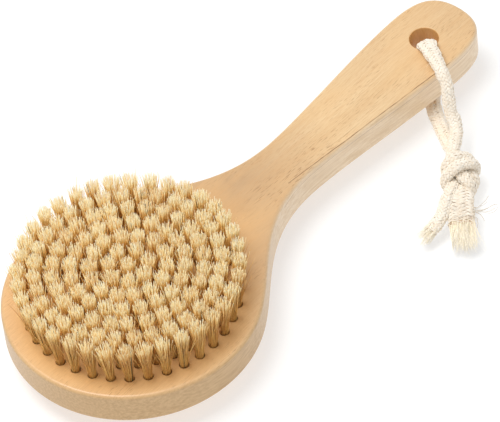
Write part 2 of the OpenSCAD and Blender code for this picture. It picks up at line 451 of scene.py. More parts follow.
def add_cord_hole(skin):
    """A plain bore with rounded rims. Returns the lowest and highest rings."""
    count = 64
    rings, normals = [], []
    for z, inset, level, up in rounded_profile(HOLE_EDGE_R, 5):
        points, outward = circle(HOLE_X, 0, HOLE_R + inset, count, z)
        rings.append(skin.add(points, bore=level))
        normals.append(np.column_stack([-outward * level, np.full(count, up)]))
    for k in range(len(rings) - 1):
        skin.strip(rings[k], rings[k + 1], normals[k], normals[k + 1], flip=True)
    return rings[0], rings[-1]


def add_socket(skin, x, y, rim):
    """Tuft hole: a slightly broken rim, the wall and a drilled bottom. Returns its rim."""
    count = 16
    points, outward = circle(x, y, SOCKET_R + rim, count, BOARD_T)
    top = skin.add(points, bore=0.7)
    wall = skin.add(circle(x, y, SOCKET_R, count, BOARD_T - rim * 1.4)[0], bore=1.0)
    foot = skin.add(circle(x, y, SOCKET_R, count, BOARD_T - SOCKET_WALL)[0], bore=1.0)
    point = skin.add([[x, y, BOARD_T - SOCKET_DEPTH]], bore=1.0)
    rim_normals = np.column_stack([-outward * 0.8, np.full(count, 0.6)])
    wall_normals = np.column_stack([-outward, np.zeros(count)])
    skin.strip(wall, top, rim_normals, rim_normals, flip=True)
    skin.strip(foot, wall, wall_normals, wall_normals, flip=True)
    after = (np.arange(count) + 1) % count
    skin.level(np.stack([foot, foot[after], np.full(count, point[0])], 1), 1)
    return top


def build_board(material):
    skin = BoardSkin()
    outer_low, outer_high = add_outer_skin(skin)
    hole_low, hole_high = add_cord_hole(skin)
    rng = np.random.default_rng(11)
    holes_high = [hole_high]
    for ring in RINGS:
        for x, y, _ in ring_tufts(*ring):
            holes_high.append(add_socket(skin, x, y, rim=0.10 + 0.10 * rng.random()))
    skin.flat(outer_high, holes_high, 1)
    skin.flat(outer_low, [hole_low], -1)
    normals = np.concatenate([n.reshape(-1, 3) for n in skin.normals])
    return new_mesh("brush_board", np.concatenate(skin.verts), skin.polys, material,
                    corner_normals=unit(normals),
                    attrs={"side": np.concatenate(skin.side),
                           "bore": np.concatenate(skin.bore)})


# Dark growth lines on the upper face, near the handle's -Y edge: y where x is 80, slope,
# half width, lowest z, x of the start and end, strength
GROWTH_LINES = [(-8.9, -0.087, 0.20, 10.4, 74.0, 164.0, 0.9),
                (-10.4, -0.098, 0.16, 10.4, 76.0, 124.0, 0.55),
                (-7.4, -0.06, 0.12, 12.6, 84.0, 112.0, 0.35)]


def growth_line_mask(m, position, side):
    """Where the dark lines lie, on the face and along the handle's -Y side."""
    px, py, pz = position
    wobble = m.scaled(m.noise(scale=(0.08, 0.0, 0.0), offset=(3, 0, 0)), by=1.6, plus=-0.8)
    lines = None
    for y0, slope, half_w, low_z, start_x, end_x, amount in GROWTH_LINES:
        off = m.math("ADD", py, m.scaled(px, by=-slope, plus=-y0 + slope * 80.0))
        off = m.math("ABSOLUTE", m.math("ADD", off, m.multiply(wobble, 0.35)))
        line = m.fade(off, zero_at=half_w, one_at=half_w * 0.3)
        gaps = m.levels(m.noise(scale=(0.11, 0.0, 0.0), offset=(start_x, y0, 0), detail=1.0),
                        start=0.36, end=0.5, low=0.1)
        extent = m.multiply(m.math("GREATER_THAN", px, start_x),
                            m.math("LESS_THAN", px, end_x),
                            m.math("GREATER_THAN", pz, low_z),
                            m.fade(side, zero_at=0.75, one_at=0.45))
        line = m.multiply(line, extent, gaps, amount)
        lines = line if lines is None else m.math("MAXIMUM", lines, line)
    # one more line on the side, a little below the upper face
    below, strength = 2.5, 0.45
    off = m.math("ABSOLUTE", m.math("ADD", pz, m.scaled(wobble, by=0.5,
                                                        plus=-(BOARD_T - below))))
    line = m.fade(off, zero_at=0.20, one_at=0.05)
    extent = m.multiply(m.math("GREATER_THAN", px, 66.0), m.math("LESS_THAN", py, -4.0))
    return m.math("MAXIMUM", lines, m.multiply(line, extent, side, strength))


def wood_material():
    m = NodeMaterial("lacquered_beech")
    coords = m.coords()
    # the grain wanders a little as it runs along the handle
    wander = m.noise(scale=(0.012, 0.035, 0.035), out="Color")
    wander = m.vector_math("MULTIPLY", m.vector_math("SUBTRACT", wander, (0.5, 0.5, 0.5)),
                           (0, 5.0, 5.0))
    wandered = m.vector_math("ADD", coords, wander)
    px, py, pz = m.node("SeparateXYZ", coords).node.outputs
    side, bore = m.attr("side"), m.attr("bore")

    def grain(**settings):
        return m.noise(source=wandered, **settings)

    broad = grain(scale=(0.006, 0.10, 0.10), offset=(3, 1, 2))
    rings = grain(scale=(0.012, 0.42, 0.38), offset=(7, 4, 1), roughness=0.55)
    fine = grain(scale=(0.085, 2.4, 2.2), detail=3.0, roughness=0.6)
    hair = grain(scale=(0.26, 5.5, 5.0), offset=(5, 2, 9), roughness=0.6)
    blotch = m.noise(scale=(0.035, 0.05, 0.05), offset=(9, 3, 5), detail=3.0, roughness=0.55)
    # short darker flecks along the grain, in drifts
    fleck = grain(scale=(0.30, 3.1, 3.1), offset=(2, 8, 3), detail=1.0)
    drift = m.noise(scale=(0.03, 0.09, 0.09), offset=(1, 7, 2), detail=1.0)
    fleck = m.multiply(m.ramp(fleck, [(0.0, 0.0), (0.60, 0.0), (0.70, 1.0)]),
                       m.levels(drift, start=0.40, end=0.62, low=0.15))

    base = m.mix(m.levels(broad, start=0.32, end=0.68),
                 srgb(238, 209, 166), srgb(230, 198, 151))
    # redder at the head, partly painted warm light from the bristles; painted shade from the
    # bristles at the neck; browner at the handle's tip
    head = m.fade(px, zero_at=95.0, one_at=-35.0)
    # partly the wood's own redder tone, partly painted warm light that the bristles throw onto
    # the head
    base = m.tint(base, srgb(232, 182, 122), mask=head, amount=0.72)
    # painted shade: the darker zone that the bristles shade on the neck, darkened into the
    # colour
    neck_painted_shade = m.multiply(m.fade(px, zero_at=104.0, one_at=66.0),
                      m.fade(px, zero_at=14.0, one_at=46.0))
    base = m.tint(base, srgb(190, 155, 115), mask=neck_painted_shade, amount=0.85)
    tip = m.fade(px, zero_at=120.0, one_at=176.0)
    base = m.tint(base, srgb(216, 178, 130), mask=tip, amount=0.6)
    # grain, from the broadest figure to the finest, then blotches and flecks
    base = m.tint(base, srgb(216, 172, 120), mask=m.levels(rings, start=0.42, end=0.62),
                  amount=0.20)
    base = m.tint(base, srgb(212, 168, 118), mask=m.levels(fine, start=0.38, end=0.70),
                  amount=0.46)
    base = m.tint(base, srgb(190, 138, 86), mask=m.levels(hair, start=0.48, end=0.70),
                  amount=0.36)
    base = m.tint(base, srgb(238, 196, 140), mask=m.levels(blotch, start=0.40, end=0.66),
                  amount=0.30)
    base = m.tint(base, srgb(146, 98, 54), mask=fleck, amount=0.55)
    # the side shows paler, greyer wood with long streaks; round the head it carries painted
    # shade, darker and browner
    streaks = grain(scale=(0.022, 1.1, 1.1), offset=(4, 6, 3), detail=3.0, roughness=0.6)
    pale = m.mix(m.levels(streaks, start=0.36, end=0.64),
                 srgb(252, 231, 202), srgb(232, 205, 168))
    pale = m.tint(pale, srgb(190, 154, 112), mask=m.levels(hair, start=0.45, end=0.7),
                  amount=0.25)
    # painted shade on the head's side, which faces away from the light
    head_side_painted_shade = m.mix(m.levels(streaks, start=0.36, end=0.64),
                  srgb(206, 172, 124), srgb(182, 146, 98))
    pale = m.mix(m.fade(px, zero_at=62.0, one_at=20.0), pale, head_side_painted_shade)
    base = m.tint(base, pale, mask=m.math("POWER", side, 2.0), amount=0.80)
    lines = growth_line_mask(m, (px, py, pz), side)
    base = m.mix(lines, base, srgb(122, 82, 44))
    # cut wood in the holes is golden
    gold = m.mix(m.noise(scale=(3.0, 3.0, 0.5), detail=3.0, roughness=0.6),
                 srgb(246, 196, 124), srgb(214, 158, 92))
    base = m.tint(base, gold, mask=bore, amount=0.92)
    # the grain stands up a little, flecks and lines are sunk
    height = m.math("ADD", m.multiply(fine, 0.5), m.multiply(hair, 0.5))
    height = m.math("SUBTRACT", height, m.math("ADD", m.multiply(fleck, 0.5), lines))
    return m.finish(Base_Color=base, Roughness=m.scaled(fine, by=0.16, plus=0.34), IOR=1.5,
                    Coat_Weight=0.25, Coat_Roughness=0.22,
                    Normal=m.bump(height, distance_mm=0.06, strength=0.4))


# ---------------------------------------------------------------- bristles
def bristle_material():
    m = NodeMaterial("natural_bristle")
    z = m.node("SeparateXYZ", m.coords(), out="Z")
    # the bristles' golden colour, with painted shade deepening it towards the root and painted
    # light making the tip almost white
    up = m.math("DIVIDE", m.math("SUBTRACT", z, BOARD_T), BRISTLE_H)
    color = m.ramp(up, [(0.0, srgb(246, 206, 130)), (0.50, srgb(242, 198, 118)),
                        (0.78, srgb(247, 216, 148)), (0.90, srgb(254, 241, 200)),
                        (1.0, srgb(255, 253, 236))])
    # every bristle has its own tone
    tone = m.ramp(m.attr("rnd"), [(0.0, srgb(204, 150, 80)), (0.25, srgb(238, 204, 144)),
                                  (0.5, srgb(253, 240, 206)), (1.0, srgb(255, 255, 250))])
    tone_strength = 0.7
    color = m.mix(tone_strength, color, tone, "MULTIPLY")
    streak = m.noise(scale=(3.0, 3.0, 0.30), roughness=0.6)
    color = m.tint(color, srgb(222, 172, 100), mask=m.levels(streak, start=0.45, end=0.8),
                   amount=0.2)
    color = m.mix(m.attr("dark"), color, srgb(58, 46, 36))
    return m.finish(Base_Color=color, Roughness=m.scaled(streak, by=0.2, plus=0.30),
                    IOR=1.55, Specular_IOR_Level=0.6)


# from root to tip: thickness of a bristle, and how far its normals lean to the tip
BRISTLE_TAPER = np.array([1.0, 1.0, 0.98, 0.94, 0.88, 0.80, 0.62])
BRISTLE_LEAN = np.array([0.0, 0.0, 0.02, 0.05, 0.14, 0.34, 0.95])


def build_tuft(rng, x, y, angle, ring_r):
    """Paths, radii, shades and darkness of one tuft's bristles."""
    ca, sa = math.cos(angle), math.sin(angle)
    # every tuft stands a little differently
    lean_out = FAN * ring_r / OUTER_RING + rng.normal(0, 0.012)
    lean_round = rng.normal(0, 0.014)
    axis = unit(np.array([ca * math.sin(lean_out) - sa * lean_round,
                          sa * math.sin(lean_out) + ca * lean_round, math.cos(lean_out)]))
    e1 = unit(np.cross([0.0, 0.0, 1.0], axis) if ring_r > 0 else np.array([1.0, 0, 0]))
    e2 = np.cross(axis, e1)

    # place in the tuft: rho runs from 0 at its middle to 1 at its edge
    n = STRANDS + LOOSE
    number = np.arange(n)
    loose = number >= STRANDS
    rho = np.sqrt((number % STRANDS + 0.5) / STRANDS)
    rho[loose] = 0.9
    phi = number * GOLDEN_ANGLE + rng.random() * 6.28
    tone = rng.normal(0, 0.08)
    flare = 1 + rng.normal(0, 0.07)
    root_r = 1.45 * rho
    tip_r = (2.74 * flare) * rho ** 0.85 + rng.normal(0, 0.32, n)
    tip_r[loose] = rng.uniform(3.2, 5.6, LOOSE)
    swirl = rng.normal(0, 0.18, n)
    # the tips form a slightly domed, uneven top
    top = BOARD_T + BRISTLE_H - 0.60 + rng.normal(0, 0.42, n) - 0.5 * rho ** 4
    top[loose] -= rng.uniform(0.2, 5.0, LOOSE)

    t = np.concatenate([[-0.10], np.linspace(0.0, 1.0, BRISTLE_SEGMENTS)])
    f = np.clip(t, 0, 1)[None, :]
    spread = root_r[:, None] + (tip_r - root_r)[:, None] * (0.35 * f + 0.65 * f ** 1.7)
    turn = phi[:, None] + swirl[:, None] * f
    length = (top - BOARD_T) / axis[2]
    bend = rng.normal(0, 0.36, (n, 2))
    wave = rng.normal(0, 0.09, (n, 2))
    stray = rng.random(n) < 0.03
    bend[stray] *= 4.0
    off1 = bend[:, :1] * f ** 2 + wave[:, :1] * np.sin(f * 7 + phi[:, None])
    off2 = bend[:, 1:] * f ** 2 + wave[:, 1:] * np.sin(f * 7 + 1.7 * phi[:, None])
    c1 = spread * np.cos(turn) + off1
    c2 = spread * np.sin(turn) + off2
    base = np.array([x, y, BOARD_T])
    paths = (base[None, None] + axis[None, None] * (length[:, None] * t[None])[..., None]
             + e1 * c1[..., None] + e2 * c2[..., None])
    # the part below the face stays in the hole
    paths[:, 0] = base + (paths[:, 1] - base) * 0.97
    paths[:, 0, 2] = BOARD_T - 2.0

    thickness = rng.normal(0.140, 0.02, n).clip(0.10, 0.19)
    thickness[loose] *= 0.8
    shade = rng.normal(0.56 + tone, 0.22, n)
    shade[loose] -= 0.3
    dark = (rng.random(n) < 0.010).astype(float) * rng.uniform(0.4, 1.0, n)
    return paths, thickness[:, None] * BRISTLE_TAPER[None], np.clip(shade, 0, 1), dark


def build_bristles(material):
    """One mesh for each ring of tufts."""
    rng = np.random.default_rng(2024)
    for k, ring in enumerate(RINGS):
        tufts = [build_tuft(rng, x, y, angle, ring[0]) for x, y, angle in ring_tufts(*ring)]
        paths, radii, shade, dark = (np.concatenate(part) for part in zip(*tufts))
        verts, polys = strands(paths, radii)
        per_strand = paths.shape[1] * 3
        ob = new_mesh("bristles_center" if k == 0 else f"bristles_ring_{k}", verts, polys,
                      material, attrs={"rnd": np.repeat(shade, per_strand),
                                       "dark": np.repeat(dark, per_strand)},
                      vertex_normals=strand_normals(verts, paths, radii, BRISTLE_LEAN))
        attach(ob, "brush")
        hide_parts("tuft_center" if k == 0 else f"tufts_ring_{k}")


# ---------------------------------------------------------------- anchors
def wire_material():
    m = NodeMaterial("anchor_wire")
    scratch = m.noise(scale=(1.2, 6, 6), detail=3.0, roughness=0.6)
    return m.finish(Base_Color=m.mix(scratch, srgb(176, 178, 182), srgb(214, 214, 212)),
                    Metallic=1.0, Roughness=m.scaled(scratch, by=0.3, plus=0.22),
                    Normal=m.bump(scratch, distance_mm=0.01, strength=0.3))


WOOD = wood_material()
BRISTLE = bristle_material()
WIRE = wire_material()
board = build_board(WOOD)
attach(board, "brush")
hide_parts("wooden_body")
build_bristles(BRISTLE)
for node_name, node_object in frame["nodes"].items():
    if node_name.startswith("anchor"):
        for slot in node_object.material_slots:
            slot.material = WIRE


# ---------------------------------------------------------------- path of the cord
# The cord is one braid: short tail, knot, lower leg, hole, upper leg, knot, frayed tail.
# The two tables are the middle of each leg through the tightened overhand knot, from the
# leg's side to the tail's side: x, y, z.
UPPER_KNOT = np.array([
    (138.00, -34.00, 1.90), (136.81, -34.71, 1.98), (135.77, -35.33, 2.05),
    (134.60, -36.02, 2.13), (133.54, -36.65, 2.20), (132.37, -37.35, 2.27),
    (131.31, -37.98, 2.33), (130.14, -38.68, 2.38), (129.09, -39.32, 2.42),
    (127.95, -40.07, 2.40), (127.01, -40.85, 2.24), (126.21, -41.92, 1.91),
    (125.60, -42.99, 1.77), (124.93, -44.21, 1.81), (124.45, -45.35, 1.81),
    (123.98, -46.66, 1.76), (123.60, -47.84, 1.69), (123.32, -49.18, 1.49),
    (123.26, -50.38, 1.15), (123.26, -51.59, 0.47), (123.21, -52.45, -0.42),
    (123.02, -53.02, -1.69), (122.72, -53.11, -2.89), (122.23, -52.71, -4.14),
    (121.70, -51.97, -4.99), (121.05, -50.84, -5.53), (120.50, -49.73, -5.60),
    (119.97, -48.48, -5.23), (119.57, -47.41, -4.74), (119.14, -46.21, -4.14),
    (118.84, -45.21, -3.48), (118.66, -44.31, -2.44), (118.70, -43.82, -1.31),
    (118.99, -43.72, 0.03), (119.43, -43.94, 1.16), (120.09, -44.38, 2.29),
    (120.78, -44.76, 3.25), (121.63, -45.16, 4.25), (122.55, -45.57, 4.97),
    (123.76, -46.07, 5.37), (124.91, -46.51, 5.32), (126.15, -46.97, 4.91),
    (127.25, -47.35, 4.47), (128.45, -47.76, 3.91), (129.41, -48.12, 3.22),
    (130.20, -48.44, 2.14), (130.50, -48.62, 0.95), (130.40, -48.67, -0.44),
    (129.88, -48.58, -1.56), (128.88, -48.35, -2.52), (127.75, -48.13, -2.99),
    (126.33, -48.03, -3.01), (125.12, -48.23, -2.77), (123.82, -48.76, -2.52),
    (122.69, -49.28, -2.36), (121.42, -49.84, -2.08), (120.36, -50.48, -1.89),
    (119.24, -51.32, -1.79), (118.26, -52.10, -1.76), (117.18, -52.98, -1.74),
    (116.22, -53.78, -1.74), (115.14, -54.67, -1.76), (114.20, -55.45, -1.79),
    (113.11, -56.37, -1.83)])
LOWER_KNOT = np.array([
    (136.70, -29.10, -4.60), (135.97, -30.32, -4.21), (135.36, -31.33, -3.88),
    (134.66, -32.53, -3.50), (134.04, -33.57, -3.17), (133.34, -34.77, -2.79),
    (132.73, -35.82, -2.46), (132.04, -37.02, -2.08), (131.44, -38.08, -1.75),
    (130.76, -39.30, -1.38), (130.18, -40.37, -1.06), (129.50, -41.58, -0.67),
    (128.90, -42.62, -0.27), (128.32, -43.91, 0.09), (127.93, -45.10, 0.27),
    (127.45, -46.49, 0.40), (127.06, -47.70, 0.44), (126.79, -49.12, 0.27),
    (126.66, -50.23, -0.30), (126.51, -51.17, -1.42), (126.29, -51.57, -2.59),
    (125.89, -51.50, -3.98), (125.41, -50.97, -5.02), (124.77, -49.95, -5.85),
    (124.21, -48.88, -6.18), (123.60, -47.57, -6.08), (123.14, -46.45, -5.72),
    (122.63, -45.18, -5.23), (122.25, -44.12, -4.68), (121.97, -43.05, -3.76),
    (121.92, -42.39, -2.71), (122.03, -41.93, -1.35), (122.16, -41.67, -0.13),
    (122.29, -41.48, 1.28), (122.51, -41.47, 2.51), (123.04, -41.66, 3.82),
    (123.83, -42.00, 4.72), (125.01, -42.49, 5.34), (126.17, -42.95, 5.42),
    (127.44, -43.41, 5.01), (128.49, -43.76, 4.40), (129.64, -44.14, 3.63),
    (130.59, -44.48, 2.89), (131.39, -44.82, 1.76), (131.67, -45.03, 0.56),
    (131.51, -45.13, -0.87), (130.96, -45.08, -1.99), (129.89, -44.89, -2.93),
    (128.72, -44.68, -3.32), (127.29, -44.48, -3.28), (126.11, -44.49, -2.87),
    (124.88, -44.78, -2.17), (123.81, -45.23, -1.68), (122.52, -45.77, -1.29),
    (121.44, -46.33, -0.96), (120.20, -47.01, -0.65), (119.04, -47.49, -0.54),
    (117.70, -48.02, -0.57), (116.53, -48.50, -0.62), (115.21, -49.06, -0.68),
    (114.06, -49.56, -0.74), (112.74, -50.14, -0.81), (111.62, -50.64, -0.87),
    (110.28, -51.24, -0.94)])
# the upper leg meets the knot a little to one side, over its first 14 points
UPPER_KNOT[:14] += np.linspace(1, 0, 14)[:, None] * [-0.45, 0.5, 0.05]

# the rest is measured from the cord hole's middle, on the upper face
HOLE = np.array([HOLE_X, 0.0, BOARD_T])
UPPER_LEG = HOLE + np.array([
    (-1.3, -1.9, -2.5), (-2.1, -3.1, 1.2), (-4.2, -5.9, 3.0), (-7, -11.6, 3.1),
    (-9.7, -16.7, 3.1), (-11.4, -19.6, 2.6), (-12.7, -22.5, 0.5), (-14.5, -24.3, -2.5),
    (-16.9, -27.2, -7.5), (-18.2, -30.6, -10)])
LOWER_LEG = HOLE + np.array([
    (-1.3, -1.8, -11.2), (-2.6, -3.8, -16.0), (-6, -7.9, -18.3), (-11.1, -12.8, -18.5),
    (-13.7, -16.1, -18.5), (-17.9, -23, -18.5)])
MAIN_TAIL = HOLE + np.array([(-49.3, -60.3, -16.6), (-56.0, -66.2, -17.6)])
SHORT_TAIL = HOLE + np.array([(-52.0, -53.2, -15.4), (-57.5, -53.9, -16.4),
                              (-62.6, -54.2, -17.2)])
STEP = 0.5                # spacing of the points along the cord's line


def arc_lengths(points):
    return np.concatenate([[0], np.cumsum(np.linalg.norm(np.diff(points, axis=0), axis=1))])


def interp_points(at, distances, points):
    return np.stack([np.interp(at, distances, points[:, k]) for k in range(3)], -1)


def resample(points, step):
    distances = arc_lengths(points)
    count = int(round(distances[-1] / step)) + 1
    return interp_points(np.linspace(0, distances[-1], count), distances, points)


def smooth_line(points, step, sigma):
    """Evenly spaced points along a line, its corners rounded over about sigma mm."""
    line = resample(points, step)
    k = int(3 * sigma / step)
    weights = np.exp(-0.5 * (np.arange(-k, k + 1) * step / sigma) ** 2)
    weights /= weights.sum()
    full = np.concatenate([2 * line[0] - line[k:0:-1], line,
                           2 * line[-1] - line[-2:-k - 2:-1]])
    return resample(np.stack([np.convolve(full[:, i], weights, "valid") for i in range(3)],
                             1), step)


LINE = smooth_line(np.concatenate([SHORT_TAIL[::-1], LOWER_KNOT[::-1], LOWER_LEG[::-1],
                                   UPPER_LEG, UPPER_KNOT, MAIN_TAIL]), STEP, 1.0)
DISTANCE = arc_lengths(LINE)
CORD_END = DISTANCE[-1]


def distance_at(point):
    """Distance along the cord of its place nearest to the point."""
    return DISTANCE[np.argmin(np.linalg.norm(LINE - point, axis=1))]


def index_at(distance):
    return int(np.clip(round(distance / STEP), 0, len(DISTANCE) - 1))


# where the knot begins and ends, as distances along the cord
AT_SHORT_TAIL, AT_LOWER_LEG = distance_at(LOWER_KNOT[-1]), distance_at(LOWER_KNOT[0])
AT_UPPER_LEG, AT_MAIN_TAIL = distance_at(UPPER_KNOT[0]), distance_at(UPPER_KNOT[-1])
UPPER_AT = [distance_at(p) for p in UPPER_LEG]
LOWER_AT = [distance_at(p) for p in LOWER_LEG]


def cord_frame():
    """Directions along the cord, across its wide side and across its thin side. They are
    carried from the upper leg, where the wide side lies level."""
    tangent = unit(np.gradient(LINE, axis=0))
    wide = np.zeros_like(LINE)
    start = int(np.argmin(np.abs(DISTANCE - UPPER_AT[4])))
    wide[start] = unit(np.cross(tangent[start], [0, 0, 1.0]))

    def carry(i, source):
        wide[i] = unit(wide[source] - (wide[source] @ tangent[i]) * tangent[i])

    for i in range(start + 1, len(LINE)):
        carry(i, i - 1)
    for i in range(start - 1, -1, -1):
        carry(i, i + 1)
    thin = np.cross(tangent, wide)

    def level_turn(distance, near):
        """Angle nearest to the one given that lays the wide side level."""
        i = index_at(distance)
        want = unit(np.cross(tangent[i], [0, 0, 1.0]))
        a = math.atan2(want @ thin[i], want @ wide[i])
        return a + math.pi * round((near - a) / math.pi)

    # the braid is turned inside the knot, so that legs and tails all lie flat
    main_turn = level_turn(AT_MAIN_TAIL - 3, 0.0)
    leg_turn = level_turn(LOWER_AT[4], 0.0)
    short_turn = level_turn(AT_SHORT_TAIL - 4, leg_turn)
    # distance along the cord, turn
    turns = np.array([(AT_SHORT_TAIL + 6, short_turn), (AT_LOWER_LEG, leg_turn),
                      (LOWER_AT[2], leg_turn), (LOWER_AT[1] + 4, 0.0),
                      (AT_UPPER_LEG + 8, 0.0), (AT_MAIN_TAIL - 11, main_turn)])
    turn = np.interp(DISTANCE, turns[:, 0], turns[:, 1])[:, None]
    return (tangent, wide * np.cos(turn) + thin * np.sin(turn),
            thin * np.cos(turn) - wide * np.sin(turn))


TANGENT, WIDE, THIN = cord_frame()

# distance along the cord, half width, half thickness of the braid
SECTIONS = np.array(sorted([
    (0.0, 2.7, 1.9), (AT_SHORT_TAIL - 2, 2.6, 1.9), (AT_SHORT_TAIL + 5, 2.35, 2.0),
    (AT_SHORT_TAIL + 10, 2.4, 1.95), (AT_LOWER_LEG - 16, 2.4, 1.95),
    (AT_LOWER_LEG - 6, 2.5, 2.1), (AT_LOWER_LEG + 4, 2.75, 2.15),
    (LOWER_AT[2], 2.95, 2.15), (LOWER_AT[0], 2.9, 2.1),
    (UPPER_AT[0], 3.6, 1.9), (UPPER_AT[1], 3.8, 1.75), (UPPER_AT[2], 3.4, 1.8),
    (UPPER_AT[3], 2.8, 2.1), (UPPER_AT[4], 2.5, 2.15), (UPPER_AT[6], 2.35, 2.15),
    (UPPER_AT[8], 2.5, 2.15), (AT_UPPER_LEG - 2, 2.5, 2.15), (AT_UPPER_LEG + 5, 2.4, 2.1),
    (AT_UPPER_LEG + 14, 2.45, 1.95), (AT_MAIN_TAIL - 14, 2.5, 1.95),
    (AT_MAIN_TAIL - 10, 3.9, 2.1), (AT_MAIN_TAIL - 6, 4.9, 2.2),
    (CORD_END - 6, 5.1, 2.4), (CORD_END, 5.1, 2.4)]))
# slow waves that make the width uneven
UNEVEN_W = (0.10 * np.sin(DISTANCE * 1.13 + 0.6) + 0.08 * np.sin(DISTANCE * 0.71 + 2.0)
            + 0.06 * np.sin(DISTANCE * 2.35 + 1.0))
HALF_W = np.interp(DISTANCE, SECTIONS[:, 0], SECTIONS[:, 1]) + UNEVEN_W
HALF_T = np.interp(DISTANCE, SECTIONS[:, 0], SECTIONS[:, 2])


# ---------------------------------------------------------------- braid
PITCH = 14.0              # length in which a carrier goes once round
CARRIERS = 10             # carriers each way
PLIES = 3                 # plies in a carrier
PLY_SIDES = 5
PLY_R = 0.225
PLY_ANGLE = 0.185         # radians between neighbouring plies
PLY_TWIST = 0.95          # length of one turn of a ply's own twist
WEAVE_LIFT = 0.36         # rise and fall of a carrier as it crosses the others
SURFACE_INSET = 0.42      # the braid's middle surface below its outside
BRAID_STEP = 0.42
LOOSE_END = 6.0           # length over which a loosened end spreads


def braid_surface(s, theta, lift):
    """Point of the braid at distance s and angle theta round it, lift mm off its middle
    surface, and the outward normal."""
    centre = interp_points(s, DISTANCE, LINE)
    a = unit(interp_points(s, DISTANCE, WIDE))
    b = unit(interp_points(s, DISTANCE, THIN))
    half_w = (np.interp(s, DISTANCE, HALF_W) - SURFACE_INSET)[..., None]
    half_t = (np.interp(s, DISTANCE, HALF_T) - SURFACE_INSET)[..., None]
    ct, st = np.cos(theta)[..., None], np.sin(theta)[..., None]
    normal = unit(a * ct * half_t + b * st * half_w)
    point = centre + a * ct * half_w + b * st * half_t + normal * lift[..., None]
    return point, normal


def ply_paths(s, rng):
    """Path, normals, tone and weave height of every ply."""
    paths, normals, tones, heights = [], [], [], []
    for way in (1, -1):
        for i in range(CARRIERS):
            wobble = rng.uniform(0, 6.28)
            raised = rng.normal(0, 0.035)
            for k in range(PLIES):
                aside = (k - (PLIES - 1) / 2) * PLY_ANGLE
                theta = 2 * np.pi * i / CARRIERS + aside + way * 2 * np.pi * s / PITCH
                theta = theta + 0.035 * np.sin(s * 0.8 + wobble)
                # crossings passed: over two and under two
                crossing = (2 * i + CARRIERS * aside / (2 * np.pi)
                            + way * 2 * CARRIERS * s / PITCH)
                over = way * np.cos(2 * np.pi * (crossing - 0.5) / 4)
                lift = (WEAVE_LIFT * over + raised + 0.05 * np.sin(s * 0.55 + wobble * 2)
                        - 0.07 * abs(k - 1))
                path, normal = braid_surface(s, theta, lift)
                paths.append(path)
                normals.append(normal)
                tones.append(rng.random() * 0.6 + 0.4 * (k == 0))
                heights.append(over)
    return np.array(paths), np.array(normals), np.array(tones), np.array(heights)


def hair_strands(start, end, count, rng):
    """Loose cotton hairs standing off the braid."""
    s = rng.uniform(start, end, count)
    theta = rng.uniform(0, 2 * np.pi, count)
    root, normal = braid_surface(s, theta, np.full(count, 0.2))
    tangent = interp_points(s, DISTANCE, TANGENT)
    direction = unit(normal * rng.uniform(0.05, 0.8, (count, 1))
                     + tangent * rng.normal(0, 1, (count, 1))
                     + rng.normal(0, 0.4, (count, 3)))
    length = rng.gamma(2.2, 0.40, count).clip(0.4, 2.4)
    u = np.linspace(0, 1, 5)
    curl = rng.normal(0, 0.35, (count, 3))
    paths = (root[:, None] + direction[:, None] * (length[:, None] * u)[..., None]
             + curl[:, None] * (u ** 2)[None, :, None])
    return strands(paths, np.full((count, 5), 0.035) * np.array([1, 1, 0.9, 0.8, 0.5]))


def braid(name, start, end, hairs, loosen=0.0):
    """The braid between two distances along the cord, with a number of loose hairs. With
    loosen, the plies spread over the last few millimetres towards end."""
    n = int((end - start) / BRAID_STEP) + 2
    s = np.linspace(start, end, n)
    rng = np.random.default_rng(int(start * 10) + 5)
    paths, normals, tones, heights = ply_paths(s, rng)
    m = len(paths)
    if loosen:
        f = (np.clip((s - (end - LOOSE_END)) / LOOSE_END, 0, 1) ** 2)[None, :, None]
        paths = paths + f * loosen * (normals * rng.uniform(-0.2, 1.0, (m, 1, 1))
                                      + rng.normal(0, 0.45, (m, 1, 3)))
    t = unit(np.gradient(paths, axis=1))
    side = unit(np.cross(t, normals))
    out = np.cross(side, t)
    radius = PLY_R * (1 + 0.06 * np.sin(s[None, :, None] * 2.3
                                        + tones[:, None, None] * 6.28))
    if loosen:
        # each ply thins out to a few fibres at its own place near the end
        gone = end - rng.uniform(0.2, 4.5, (m, 1, 1))
        radius = radius * (1 - 0.86 * np.clip((s[None, :, None] - gone) / 1.6, 0, 1))
    angle = (np.pi + 2 * np.pi * np.arange(PLY_SIDES) / PLY_SIDES)[None, None, :, None]
    verts = (paths[:, :, None] + radius[..., None] * (out[:, :, None] * np.cos(angle)
                                                      + side[:, :, None] * np.sin(angle)))
    verts = verts.reshape(-1, 3)
    idx = np.arange(m * n * PLY_SIDES).reshape(m, n, PLY_SIDES)
    after = np.roll(idx, -1, axis=2)
    quads = np.stack([idx[:, :-1], idx[:, 1:], after[:, 1:], after[:, :-1]], -1)
    twist = ((s[None, :, None] / PLY_TWIST
              + np.arange(PLY_SIDES)[None, None, :] / PLY_SIDES) * np.ones((m, 1, 1)))
    # mask for painted shade: how far a ply lies under the others
    under = np.repeat(np.clip(0.5 - 0.5 * heights, 0, 1)[..., None], PLY_SIDES, 2)

    hair_verts, hair_polys = hair_strands(start + 0.5, end - 0.5, hairs, rng)
    polys = [quads.reshape(-1, 4), idx[:, 0], idx[:, -1, ::-1]]
    polys += [p + len(verts) for p in hair_polys]
    pad = np.zeros(len(hair_verts))
    return new_mesh(name, np.concatenate([verts, hair_verts]), polys, COTTON, attrs={
        "twist": np.concatenate([twist.ravel(), pad]),
        "rnd": np.concatenate([np.repeat(tones, n * PLY_SIDES), pad + 0.1]),
        "under": np.concatenate([under.ravel(), pad])})


# thickness of a frayed fibre from root to tip
FIBRE_TAPER = np.array([1, 1, 1, 1, 0.95, 0.9, 0.85, 0.75, 0.5])


